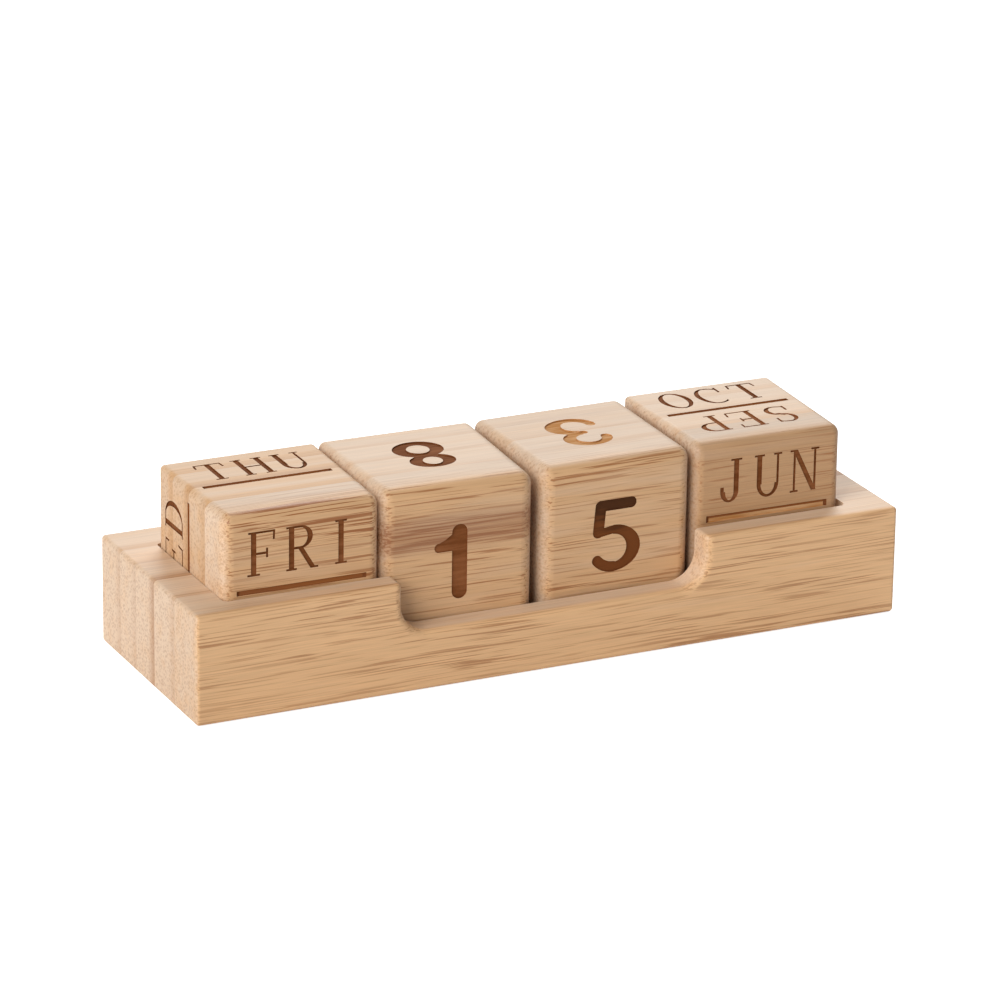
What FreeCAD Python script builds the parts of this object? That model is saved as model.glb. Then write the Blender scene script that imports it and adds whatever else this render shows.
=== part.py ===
"""Desk calendar of laminated bamboo: a milled tray that holds four loose cubes.

Millimetres, +Z up, +X along the tray, -Y towards the reader. The origin is the
middle of the tray's underside.

A bamboo culm's wall is only a finger thick, so every block here is glued up from
strips laid side by side from front to back, and then milled as one. Each strip is
a piece of its own: a milled form is modelled whole, and each strip is what that
form and the strip's own slab have in common.
"""
import FreeCAD, Part
import os
import Sketcher

Vector = FreeCAD.Vector

CUBE_NAMES = ("weekday", "tens", "units", "month")
CUBE_STRIP_COUNT = 4
SLAB_MARGIN = 1.0
TOUCH = 1e-4

SIZES = (
    # the cubes
    ("cube_side", 40.0),
    ("weekday_edge_radius", 1.8),
    ("tens_edge_radius", 2.6),
    ("units_edge_radius", 3.0),
    ("month_edge_radius", 1.8),
    ("cube_front_strip", 11.2),
    ("cube_back_strip", 8.8),
    # how the loose cubes stand: the gaps along the row, the gap from the front wall
    # to each cube's nearest corner, and each cube's turn about the vertical in degrees
    ("left_gap", 0.1),
    ("weekday_tens_gap", 0.4),
    ("tens_units_gap", 2.4),
    ("units_month_gap", 1.2),
    ("right_gap", 1.3),
    ("weekday_front_gap", 0.35),
    ("tens_front_gap", 0.1),
    ("units_front_gap", 0.85),
    ("month_front_gap", 1.05),
    ("weekday_turn", -0.38),
    ("tens_turn", -1.4),
    ("units_turn", 0.14),
    ("month_turn", -0.88),
    # the tray
    ("front_wall", 6.6),
    ("back_wall", 11.2),
    ("left_end_wall", 9.7),
    ("right_end_wall", 10.9),
    ("depth_play", 2.2),
    ("floor_thickness", 8.2),
    ("recess_sink", 19.3),
    ("recess_corner_radius", 1.5),
    ("outer_edge_radius", 1.0),
    ("tray_front_strip", 13.4),
    ("tray_core_strip_1", 12.6),
    ("tray_core_strip_2", 11.5),
    ("tray_back_strip", 12.5),
    # the notch in the front wall, before the two digit cubes
    ("notch_side_play", 0.3),
    ("notch_sink", 12.6),
    ("notch_corner_radius", 7.0),
    ("notch_edge_radius", 2.0),
)

# What follows from those sizes, as expressions on the sheet.
CUBE_SIDE = "Sizes.cube_side"
RECESS_LENGTH = (
    f"({len(CUBE_NAMES)} * Sizes.cube_side + Sizes.left_gap + Sizes.weekday_tens_gap"
    " + Sizes.tens_units_gap + Sizes.units_month_gap + Sizes.right_gap)"
)
RECESS_WIDTH = "(Sizes.cube_side + Sizes.depth_play)"
TRAY_LENGTH = f"({RECESS_LENGTH} + Sizes.left_end_wall + Sizes.right_end_wall)"
TRAY_WIDTH = f"(Sizes.front_wall + {RECESS_WIDTH} + Sizes.back_wall)"
TRAY_HEIGHT = "(Sizes.floor_thickness + Sizes.recess_sink)"
RECESS_LEFT = f"(-{TRAY_LENGTH} / 2 + Sizes.left_end_wall)"
NOTCH_LENGTH = "(2 * Sizes.cube_side + 2 * Sizes.notch_side_play)"
NOTCH_FLOOR = f"({TRAY_HEIGHT} - Sizes.notch_sink)"
FRONT_FACE = f"(-{TRAY_WIDTH} / 2)"
WALL_BACK = f"({FRONT_FACE} + Sizes.front_wall)"
LAST_CORE_STRIP = (
    f"({TRAY_WIDTH} - Sizes.tray_front_strip - Sizes.tray_core_strip_1"
    " - Sizes.tray_core_strip_2 - Sizes.tray_back_strip)"
)
INNER_CUBE_STRIP = (
    "((Sizes.cube_side - Sizes.cube_front_strip - Sizes.cube_back_strip)"
    f" / {CUBE_STRIP_COUNT - 2})"
)

doc = FreeCAD.newDocument("DeskCalendar")


def make_sheet():
    """Put the driving dimensions in the spreadsheet, one row each."""
    sheet = doc.addObject("Spreadsheet::Sheet", "Sizes")
    for row, (alias, number) in enumerate(SIZES, 1):
        sheet.set(f"A{row}", alias)
        sheet.set(f"B{row}", str(number))
        sheet.setAlias(f"B{row}", alias)
    doc.recompute()
    return sheet


sheet = make_sheet()


def value(expression):
    """The number that an expression on the sheet comes to."""
    number = sheet.evalExpression(expression)
    return float(getattr(number, "Value", number))


def bind(thing, **expressions):
    """Bind an object's properties to expressions on the sheet."""
    for name, expression in expressions.items():
        thing.setExpression(name, expression)


def place(thing, x="0", y="0", z="0"):
    """Bind where an object stands."""
    thing.setExpression("Placement.Base.x", x)
    thing.setExpression("Placement.Base.y", y)
    thing.setExpression("Placement.Base.z", z)


def origin_plane(body, role):
    """One of a body's own origin planes."""
    return next(f for f in body.Origin.OriginFeatures if f.Role == role)


def rectangle(body, name, role, offset, left, right, low, high):
    """A sketched rectangle on an origin plane, its four sides bound to expressions."""
    sketch = body.newObject("Sketcher::SketchObject", name)
    sketch.AttachmentSupport = [(origin_plane(body, role), "")]
    sketch.MapMode = "FlatFace"
    sketch.setExpression("AttachmentOffset.Base.z", offset)
    x_0, x_1, y_0, y_1 = (value(side) for side in (left, right, low, high))
    corners = [Vector(x_0, y_0, 0), Vector(x_1, y_0, 0), Vector(x_1, y_1, 0), Vector(x_0, y_1, 0)]
    for start, end in zip(corners, corners[1:] + corners[:1]):
        sketch.addGeometry(Part.LineSegment(start, end), False)
    for side in range(4):
        sketch.addConstraint(Sketcher.Constraint("Coincident", side, 2, (side + 1) % 4, 1))
    for side, kind in enumerate(("Horizontal", "Vertical", "Horizontal", "Vertical")):
        sketch.addConstraint(Sketcher.Constraint(kind, side))
    # Each distance runs from the sketch's origin, point 1 of geometry -1, to a corner.
    for kind, side, expression in (
        ("DistanceX", 0, left),
        ("DistanceX", 2, right),
        ("DistanceY", 0, low),
        ("DistanceY", 2, high),
    ):
        number = value(expression)
        index = sketch.addConstraint(Sketcher.Constraint(kind, -1, 1, side, 1, number))
        sketch.setExpression(f"Constraints[{index}]", expression)
    doc.recompute()
    return sketch


def pad(body, name, sketch, length):
    """Raise a sketch into a solid."""
    feature = body.newObject("PartDesign::Pad", name)
    feature.Profile = sketch
    bind(feature, Length=length)
    doc.recompute()
    return feature


def pocket(body, name, sketch, length):
    """Sink a sketch into the solid, and make sure that it cut something."""
    before = body.Shape.Volume
    feature = body.newObject("PartDesign::Pocket", name)
    feature.Profile = sketch
    bind(feature, Length=length)
    doc.recompute()
    if body.Shape.Volume > before - 1.0:
        raise RuntimeError(f"{name} cut nothing")
    return feature


def fillet(body, name, base, radius, wanted):
    """Round the edges of the last feature that the test picks."""
    names = [f"Edge{n}" for n, edge in enumerate(base.Shape.Edges, 1) if wanted(edge)]
    if not names:
        raise RuntimeError(f"{name} found no edge")
    feature = body.newObject("PartDesign::Fillet", name)
    feature.Base = (base, names)
    bind(feature, Radius=radius)
    doc.recompute()
    return feature


def lies_at(edge, axis, place_on_axis):
    """True for an edge that lies in the plane across an axis at that place."""
    box = edge.BoundBox
    low = getattr(box, axis + "Min")
    high = getattr(box, axis + "Max")
    return abs(low - place_on_axis) < TOUCH and abs(high - place_on_axis) < TOUCH


def upright(edge):
    """True for a straight vertical edge."""
    box = edge.BoundBox
    return max(box.XLength, box.YLength) < TOUCH < box.ZLength


def make_tray_form():
    """The tray as it leaves the mill: a block, its recess, its notch and its round edges."""
    body = doc.addObject("PartDesign::Body", "tray_form")
    half_length = value(TRAY_LENGTH) / 2
    half_width = value(TRAY_WIDTH) / 2
    height = value(TRAY_HEIGHT)
    wall_back = value(WALL_BACK)
    notch_floor = value(NOTCH_FLOOR)

    outline = rectangle(
        body, "block_outline", "XY_Plane", "0",
        f"-{TRAY_LENGTH} / 2", f"{TRAY_LENGTH} / 2", FRONT_FACE, f"{TRAY_WIDTH} / 2",
    )
    pad(body, "block", outline, TRAY_HEIGHT)

    recess = rectangle(
        body, "recess_outline", "XY_Plane", TRAY_HEIGHT,
        RECESS_LEFT, f"{RECESS_LEFT} + {RECESS_LENGTH}", WALL_BACK, f"{WALL_BACK} + {RECESS_WIDTH}",
    )
    last = pocket(body, "recess", recess, "Sizes.recess_sink")
    last = fillet(
        body, "recess_corners", last, "Sizes.recess_corner_radius",
        lambda edge: upright(edge) and abs(edge.BoundBox.XMin) < half_length - TOUCH,
    )

    # The notch goes from the front face through the front wall.
    notch = rectangle(
        body, "notch_outline", "XZ_Plane", f"{TRAY_WIDTH} / 2",
        f"-{NOTCH_LENGTH} / 2", f"{NOTCH_LENGTH} / 2", NOTCH_FLOOR, TRAY_HEIGHT,
    )
    last = pocket(body, "notch", notch, "Sizes.front_wall")
    last = fillet(
        body, "notch_corners", last, "Sizes.notch_corner_radius",
        lambda edge: edge.BoundBox.YLength > TOUCH
        and lies_at(edge, "Z", notch_floor)
        and edge.BoundBox.XLength < TOUCH,
    )
    last = fillet(
        body, "notch_edge", last, "Sizes.notch_edge_radius",
        lambda edge: lies_at(edge, "Y", -half_width)
        and edge.BoundBox.ZMin > notch_floor - TOUCH
        and not lies_at(edge, "Z", height)
        and abs(edge.BoundBox.XMin) < half_length - TOUCH,
    )

    faces = (
        ("X", -half_length), ("X", half_length), ("Y", -half_width), ("Y", half_width),
        ("Z", 0), ("Z", height),
    )

    def outside(edge):
        """True for the block's outer edges and for the notch's edges in the top face."""
        box = edge.BoundBox
        across_the_wall = box.YMin < wall_back - 2 * TOUCH and box.YMax < wall_back + TOUCH
        if across_the_wall and lies_at(edge, "Z", height):
            return True
        return sum(lies_at(edge, axis, at) for axis, at in faces) == 2

    fillet(body, "outer_edges", last, "Sizes.outer_edge_radius", outside)
    return body


def make_cube_form(name):
    """One cube, sawn square from a glued bar and rounded all round."""
    body = doc.addObject("PartDesign::Body", f"{name}_cube_form")
    outline = rectangle(
        body, f"{name}_outline", "XY_Plane", "0", "0", CUBE_SIDE, "0", CUBE_SIDE,
    )
    block = pad(body, f"{name}_block", outline, CUBE_SIDE)
    fillet(body, f"{name}_edges", block, f"Sizes.{name}_edge_radius", lambda edge: True)
    return body


def make_slab(name, left, start, length, width, height):
    """The space of one strip: a slab that runs past the block's ends, top and underside."""
    slab = doc.addObject("Part::Box", name)
    margin = 2 * SLAB_MARGIN
    bind(slab, Length=f"{length} + {margin}", Width=width, Height=f"{height} + {margin}")
    place(slab, f"{left} - {SLAB_MARGIN}", start, f"-{SLAB_MARGIN}")
    return slab


def make_strip(label, form, slab):
    """One glued strip: what a milled form and the strip's slab have in common."""
    strip = doc.addObject("Part::Common", label)
    strip.Label = label
    strip.Base = form
    strip.Tool = slab
    return strip


def make_tray():
    """The tray's strips, from front to back."""
    form = make_tray_form()
    strips = []
    left = f"-{TRAY_LENGTH} / 2"
    start = FRONT_FACE
    for name, width in (
        ("tray_front_strip", "Sizes.tray_front_strip"),
        ("tray_core_strip_1", "Sizes.tray_core_strip_1"),
        ("tray_core_strip_2", "Sizes.tray_core_strip_2"),
        ("tray_core_strip_3", LAST_CORE_STRIP),
        ("tray_back_strip", "Sizes.tray_back_strip"),
    ):
        slab = make_slab(f"{name}_slab", left, start, TRAY_LENGTH, width, TRAY_HEIGHT)
        strips.append(make_strip(name, form, slab))
        start = f"{start} + {width}"
    return form, strips


def make_cube(name, left):
    """One cube's strips, from front to back, stood in the recess with its own small turn."""
    form = make_cube_form(name)
    inner = [INNER_CUBE_STRIP] * (CUBE_STRIP_COUNT - 2)
    widths = ["Sizes.cube_front_strip"] + inner + ["Sizes.cube_back_strip"]
    turn = f"Sizes.{name}_turn"
    # A cube turned clockwise brings its right front corner nearest to the wall.
    reach = f"max(0; -Sizes.cube_side * sin({turn} * 1 deg))"
    front = f"{WALL_BACK} + Sizes.{name}_front_gap + {reach}"
    strips = []
    start = "0"
    for number, width in enumerate(widths, 1):
        label = f"{name}_cube_strip_{number}"
        slab = make_slab(f"{label}_slab", "0", start, CUBE_SIDE, width, CUBE_SIDE)
        strip = make_strip(label, form, slab)
        place(strip, left, front, "Sizes.floor_thickness")
        strip.setExpression("Placement.Rotation.Angle", f"{turn} * 1 deg")
        strips.append(strip)
        start = f"{start} + {width}"
    return form, strips


def make_cubes():
    """The four cubes side by side, from the recess's left wall to its right one."""
    gaps = ("left_gap", "weekday_tens_gap", "tens_units_gap", "units_month_gap")
    left = RECESS_LEFT
    made = []
    for name, gap in zip(CUBE_NAMES, gaps):
        left = f"{left} + Sizes.{gap}"
        made.append(make_cube(name, left))
        left = f"{left} + Sizes.cube_side"
    return made


def check(blocks):
    """Stop if an object failed, or if a block's strips don't add up to its form."""
    for thing in doc.Objects:
        if "Invalid" in thing.State or "Error" in thing.State:
            raise RuntimeError(f"{thing.Label} failed: {thing.State}")
    for form, strips in blocks:
        for strip in strips:
            if strip.Shape.isNull() or not strip.Shape.isValid() or len(strip.Shape.Solids) != 1:
                raise RuntimeError(f"{strip.Label} isn't one sound solid")
        whole = sum(strip.Shape.Volume for strip in strips)
        if abs(whole - form.Shape.Volume) > 1e-6 * whole:
            raise RuntimeError(f"the strips of {form.Label} don't fill it")


def main():
    """Build the tray and its cubes, check them and write each strip."""
    blocks = [make_tray()] + make_cubes()
    doc.recompute()
    check(blocks)
    os.makedirs("parts", exist_ok=True)
    for _, strips in blocks:
        for strip in strips:
            strip.Shape.exportStep(f"parts/{strip.Label}.step")
            box = strip.Shape.BoundBox
            print(
                f"{strip.Label}: {strip.Shape.Volume:.1f} mm3,"
                f" x {box.XMin:.2f} to {box.XMax:.2f},"
                f" y {box.YMin:.2f} to {box.YMax:.2f}, z {box.ZMin:.2f} to {box.ZMax:.2f}"
            )


main()
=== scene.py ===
"""Desk calendar of laminated bamboo: the finish of its tray and the carving of its cubes.

Metres, in the same frame as the solids: +Z up, +X along the tray, -Y towards the
reader. The tray's strips keep their solids and get a bamboo finish. Each cube strip
is made anew with the burnt-in figures cut into it, and stands for its solid.
"""

import math
from collections import namedtuple

import bmesh
import bpy
from bpy.props import FloatProperty, FloatVectorProperty, PointerProperty
from mathutils import Matrix, Vector


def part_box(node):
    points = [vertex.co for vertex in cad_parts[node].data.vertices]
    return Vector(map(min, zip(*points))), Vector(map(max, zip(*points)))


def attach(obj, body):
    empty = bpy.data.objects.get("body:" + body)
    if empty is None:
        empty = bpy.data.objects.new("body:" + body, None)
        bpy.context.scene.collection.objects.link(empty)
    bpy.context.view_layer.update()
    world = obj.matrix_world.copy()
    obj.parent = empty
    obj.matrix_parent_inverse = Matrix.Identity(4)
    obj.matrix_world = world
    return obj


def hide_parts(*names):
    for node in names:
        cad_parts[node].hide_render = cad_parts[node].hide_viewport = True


bl_info = {
    "name": "Bamboo Desk Calendar",
    "version": (1, 0, 0),
    "blender": (4, 5, 0),
    "location": "3D View > Sidebar > Calendar",
    "description": "Finishes the tray and carves the cubes of a bamboo desk calendar",
    "category": "Object",
}

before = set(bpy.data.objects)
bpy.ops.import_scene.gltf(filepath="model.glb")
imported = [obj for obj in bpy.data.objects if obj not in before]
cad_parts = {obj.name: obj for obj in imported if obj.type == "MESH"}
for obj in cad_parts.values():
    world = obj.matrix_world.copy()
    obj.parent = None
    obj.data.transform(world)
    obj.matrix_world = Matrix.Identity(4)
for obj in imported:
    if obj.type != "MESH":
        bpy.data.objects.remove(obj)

MM = 0.001
CUBES = ("weekday", "tens", "units", "month")
STRIPS_IN_CUBE = 4


def linear(code):
    """The linear colour, with alpha, of an sRGB hex value."""
    channels = [int(code[i : i + 2], 16) / 255 for i in (1, 3, 5)]
    bent = [c / 12.92 if c <= 0.04045 else ((c + 0.055) / 1.055) ** 2.4 for c in channels]
    return (*bent, 1.0)


def union_box(nodes):
    """The lowest and highest corner of several nodes together."""
    boxes = [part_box(name) for name in nodes]
    low = Vector(min(box[0][axis] for box in boxes) for axis in range(3))
    high = Vector(max(box[1][axis] for box in boxes) for axis in range(3))
    return low, high


def strip_names(cube):
    """A cube's strips, from front to back."""
    return [f"{cube}_cube_strip_{number}" for number in range(1, STRIPS_IN_CUBE + 1)]


CUBE_LOW, CUBE_HIGH = union_box(strip_names("weekday"))


def millimetres(name, description, default):
    """A length property whose default is given in millimetres."""
    return FloatProperty(
        name=name, description=description, default=default * MM, unit="LENGTH", precision=4,
    )


def degrees(name, description, default):
    """An angle property whose default is given in degrees."""
    return FloatProperty(
        name=name, description=description, default=math.radians(default), unit="ROTATION"
    )


def colour(name, description, default):
    """A colour property whose default is an sRGB hex value."""
    return FloatVectorProperty(
        name=name, description=description, default=linear(default)[:3], subtype="COLOR",
        size=3, min=0.0, max=1.0,
    )


class CalendarSizes(bpy.types.PropertyGroup):
    """The sizes that the cubes and their figures are made from."""

    cube_side: FloatProperty(
        name="Cube side",
        description="Length of a cube's edge",
        default=CUBE_HIGH.z - CUBE_LOW.z,
        unit="LENGTH",
    )
    front_strip: millimetres("Front strip", "Depth of a cube's front strip", 11.2)
    back_strip: millimetres("Back strip", "Depth of a cube's back strip", 8.8)
    weekday_radius: millimetres("Weekday edge radius", "Rounding of its front edges", 2.8)
    tens_radius: millimetres("Tens edge radius", "Rounding of its front edges", 3.6)
    units_radius: millimetres("Units edge radius", "Rounding of its front edges", 3.3)
    month_radius: millimetres("Month edge radius", "Rounding of its front edges", 2.6)
    weekday_back_radius: millimetres("Weekday back radius", "Rounding of its back edges", 1.2)
    tens_back_radius: millimetres("Tens back radius", "Rounding of its back edges", 1.8)
    units_back_radius: millimetres("Units back radius", "Rounding of its back edges", 2.3)
    month_back_radius: millimetres("Month back radius", "Rounding of its back edges", 1.2)
    weekday_turn: degrees("Weekday turn", "Turn of the weekday cube in its recess", -0.38)
    tens_turn: degrees("Tens turn", "Turn of the tens cube in its recess", -1.4)
    units_turn: degrees("Units turn", "Turn of the units cube in its recess", 0.14)
    month_turn: degrees("Month turn", "Turn of the month cube in its recess", -0.88)
    burn_depth: millimetres("Burn depth", "Depth of the burnt-in figures", 0.35)
    letter_pitch: millimetres("Letter pitch", "Distance between letters", 9.9)
    letter_gap: millimetres("Letter gap", "From the middle of the rule to a letter's foot", 3.8)
    rule_start: millimetres("Rule start", "Where the rule starts, from the face's edge", 3.4)
    rule_end: millimetres("Rule end", "Where the rule ends, from the face's edge", 36.4)


class CalendarColours(bpy.types.PropertyGroup):
    """The colours of the bamboo and of the burnt figures."""

    core: colour("Bamboo core", "Soft inner tissue of a strip", "#DEC2A6")
    skin: colour("Bamboo skin side", "Denser outer side of a strip", "#DFB384")
    fibre: colour("Bamboo fibre", "Fibre bundles that show as streaks and dots", "#9C6234")
    burnt: colour("Burnt", "Char on the floor of the deepest figures", "#4C2C17")
    singed: colour("Singed", "Dark brown floor of most figures", "#73411F")
    browned: colour("Browned", "Brown floor of the rules", "#905A36")
    toasted: colour("Toasted", "Tan floor of the faintest figure", "#BA8149")
    floor: colour("Floor", "Table under the calendar", "#F6F6F6")


class CalendarStudio(bpy.types.PropertyGroup):
    """The camera and the lamps."""

    lens: FloatProperty(
        name="Lens", description="Focal length of the camera in millimetres", default=192.465
    )
    fill: FloatProperty(
        name="Fill", description="Strength of the white surroundings", default=0.24, min=0.0
    )
    key: FloatProperty(
        name="Key lamp", description="Power of the soft lamp on the left", default=91.0,
        min=0.0, unit="POWER",
    )
    sheen: FloatProperty(
        name="Sheen lamp", description="Power of the lamp behind", default=28.0, min=0.0,
        unit="POWER",
    )
    glow: FloatProperty(
        name="Floor glow", description="How far the floor is lifted to white", default=0.7,
        min=0.0,
    )


# ---------------------------------------------------------------- nodes


def add(tree, kind, inputs=None, **settings):
    """Add a node. Settings are its properties; inputs gives a socket a value or a link."""
    node = tree.nodes.new(kind)
    for name, setting in settings.items():
        setattr(node, name, setting)
    for key, given in (inputs or {}).items():
        socket = node.inputs[key]
        if isinstance(given, bpy.types.NodeSocket):
            tree.links.new(given, socket)
        else:
            socket.default_value = given
    return node


def maths(tree, operation, *values, **settings):
    """The result of a sum, product or the like of numbers and links."""
    inputs = dict(enumerate(values))
    return add(tree, "ShaderNodeMath", inputs, operation=operation, **settings).outputs[0]


def ramp(tree, value, start, end, low=0.0, high=1.0, **settings):
    """From low to high as a value goes from start to end, and level beyond."""
    return add(
        tree, "ShaderNodeMapRange",
        {"Value": value, "From Min": start, "From Max": end, "To Min": low, "To Max": high},
        **settings,
    ).outputs[0]


def laid_over(tree, share, under, colour):
    """A colour laid over another by a share."""
    return add(
        tree, "ShaderNodeMix", {0: share, 6: under, 7: (*colour, 1)}, data_type="RGBA"
    ).outputs[2]


def strip_place(tree, corner, turn):
    """Place on a strip in millimetres: x along the fibres, y in from its front, z up."""
    here = add(tree, "ShaderNodeTexCoord").outputs["Object"]
    return add(
        tree, "ShaderNodeMapping",
        {"Vector": here, "Location": corner, "Rotation": (0, 0, turn), "Scale": (MM, MM, MM)},
        vector_type="TEXTURE",
    ).outputs[0]


def stretched(tree, place, lengths, shift):
    """A place divided by a pattern's size along x, y and z in millimetres, then shifted."""
    return add(
        tree, "ShaderNodeMapping",
        {"Vector": place, "Location": (shift, 0.37 * shift, 0.61 * shift),
         "Scale": tuple(1 / length for length in lengths)},
    ).outputs[0]


def noise(tree, place, lengths, shift, detail, roughness=0.5):
    """Soft noise whose blotches have this size along x, y and z in millimetres."""
    return add(
        tree, "ShaderNodeTexNoise",
        {"Vector": stretched(tree, place, lengths, shift), "Scale": 1.0, "Detail": detail,
         "Roughness": roughness},
    ).outputs


def new_material(name):
    """An empty node material with a Principled shader at its output."""
    material = bpy.data.materials.new(name)
    material.use_nodes = True
    tree = material.node_tree
    tree.nodes.clear()
    shader = add(tree, "ShaderNodeBsdfPrincipled")
    add(tree, "ShaderNodeOutputMaterial", {"Surface": shader.outputs[0]})
    return material, tree, shader


# ---------------------------------------------------------------- bamboo and burnt bamboo

# How one strip's bamboo grew. tone darkens it, streaks is how many fibre bundles show and
# contrast how dark they are, skin is how tan its front is and reach how far in that goes,
# as a share of the strip's depth, line is how brown its front glue line is, band is the
# height of a brown knuckle across it, or 0 for none, tan is how tan all of it is, and ends
# is how much paler its end grain is.
Growth = namedtuple(
    "Growth", "tone streaks contrast skin reach line band tan ends",
    defaults=(0.0, 0.35, 0.5, 0.25, 0.5, 0.1, 0.0, 0.0, 0.0),
)


def end_grain(tree):
    """Where the fibres are cut across: 0 on the long faces and 1 on the ends."""
    facing = add(tree, "ShaderNodeTexCoord").outputs["Normal"]
    along = add(tree, "ShaderNodeSeparateXYZ", {0: facing}).outputs[0]
    return ramp(tree, maths(tree, "ABSOLUTE", along), 0.4, 0.8)


def end_dots(tree, place, shift):
    """The open ends of the bundles, as a stipple of dots just under a millimetre apart."""
    ends = add(
        tree, "ShaderNodeTexVoronoi",
        {"Vector": stretched(tree, place, (40, 0.8, 0.8), shift), "Scale": 1.0},
    ).outputs["Distance"]
    return ramp(tree, ends, 0.6, 0.15, high=0.38, interpolation_type="SMOOTHSTEP")


def knuckle_band(tree, height, middle):
    """Where a knuckle of the culm leaves a brown band about 10 mm high across the strip."""
    off = maths(tree, "ABSOLUTE", maths(tree, "SUBTRACT", height, middle))
    return ramp(tree, off, 6.5, 1.0, interpolation_type="SMOOTHSTEP")


def bamboo(name, corner, turn, depth, seed, growth):
    """Side-pressed bamboo, sanded and thinly oiled, for one glued strip.

    Bamboo is soft pale tissue with hard brown fibre bundles running along it. Cut
    lengthwise the bundles show as fine tapering streaks, and cut across as small dots.
    They crowd and darken towards the culm's skin, so a strip goes from tan to pale
    through its depth. Sanding leaves it satin, and edge-on light sheens over the oil.
    """
    colours = bpy.context.scene.calendar_colours
    material, tree, shader = new_material(name)
    place = strip_place(tree, corner, turn)
    across = add(tree, "ShaderNodeSeparateXYZ", {0: place})
    inward, height = across.outputs[1], across.outputs[2]
    endwise = end_grain(tree)
    lengthwise = ramp(tree, endwise, 0.0, 1.0, 1.0, 0.3)

    # The fibres wander by a few tenths of a millimetre over a few centimetres.
    drift = noise(tree, place, (60, 20, 20), seed, 1.0)["Color"]
    wander = add(
        tree, "ShaderNodeVectorMath",
        {0: drift, 1: (0.0, 1.8, 1.8), 2: place}, operation="MULTIPLY_ADD",
    ).outputs[0]

    # Bundles are 0.2 to 0.4 mm thick and about 1 mm apart, and a streak is 5 to 40 mm
    # long, because a bundle leaves the sanded face again.
    long_fibres = noise(tree, wander, (27, 0.44, 0.44), seed, 1.5, 0.55)["Fac"]
    rarest = 0.68 - 0.17 * growth.streaks
    bundle = ramp(tree, long_fibres, rarest, rarest + 0.09, interpolation_type="SMOOTHSTEP")
    # Finer bundles in between, too thin to part at this distance.
    fine = noise(tree, wander, (20, 0.36, 0.36), seed + 5, 2.0, 0.6)["Fac"]
    # Growth differs over several millimetres, which leaves broad soft bands.
    broad = noise(tree, wander, (60, 4.5, 4.5), seed + 11, 2.0, 0.55)["Fac"]

    # Tan at the skin and pale inside.
    skin = ramp(
        tree, inward, growth.reach * depth, 0.05 * depth, high=growth.skin,
        interpolation_type="SMOOTHSTEP",
    )
    banded = ramp(tree, broad, 0.3, 0.7, growth.tan - 0.3, growth.tan + 0.3)
    tan = maths(tree, "MULTIPLY_ADD", skin, lengthwise, banded, use_clamp=True)
    ground = laid_over(tree, tan, (*colours.core, 1), colours.skin)

    # The last millimetres before the glue line are the brown rind of the culm.
    rind = ramp(tree, inward, 4.6, 0.1, high=growth.line, interpolation_type="SMOOTHERSTEP")
    if growth.band:
        knuckle = knuckle_band(tree, height, growth.band)
        rind = maths(tree, "MULTIPLY_ADD", knuckle, 0.42, rind)
    ground = laid_over(tree, rind, ground, colours.fibre)
    darker = 0.3 * growth.tone
    shade = ramp(tree, fine, 0.3, 0.7, 0.91 - darker, 1.06 - darker, clamp=False)
    shade = maths(tree, "MULTIPLY_ADD", endwise, growth.ends, shade)
    ground = add(
        tree, "ShaderNodeVectorMath", {0: ground, 3: shade}, operation="SCALE"
    ).outputs[0]

    # Bundles are darkest at the skin, differ from place to place, and turn to dots on
    # the end grain.
    strength = ramp(tree, skin, 0.0, 1.0, 0.3 * growth.contrast, growth.contrast)
    uneven = ramp(tree, broad, 0.35, 0.62, 0.35, 1.0)
    for factor in (strength, uneven, lengthwise):
        bundle = maths(tree, "MULTIPLY", bundle, factor)
    dots = maths(tree, "MULTIPLY", end_dots(tree, wander, seed + 2), endwise)
    bundle = maths(tree, "MAXIMUM", bundle, dots)
    tint = laid_over(tree, bundle, ground, colours.fibre)
    if growth.band:
        # At the knuckle the bundles crowd together and are as brown as a burnt figure.
        crowded = ramp(
            tree, long_fibres, 0.4, 0.6, 0.1, 0.75, interpolation_type="SMOOTHSTEP"
        )
        crowded = maths(tree, "MULTIPLY", crowded, knuckle)
        tint = laid_over(tree, crowded, tint, colours.browned)
    tree.links.new(tint, shader.inputs["Base Color"])

    # Hard bundles polish up a little more than the soft tissue round them.
    tree.links.new(ramp(tree, bundle, 0.0, 1.0, 0.52, 0.42), shader.inputs["Roughness"])
    relief = maths(tree, "MULTIPLY_ADD", bundle, -0.5, fine)
    bump = add(
        tree, "ShaderNodeBump", {"Height": relief, "Strength": 0.3, "Distance": 0.12 * MM}
    ).outputs[0]
    tree.links.new(bump, shader.inputs["Normal"])
    shader.inputs["IOR"].default_value = 1.5
    return material


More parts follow.
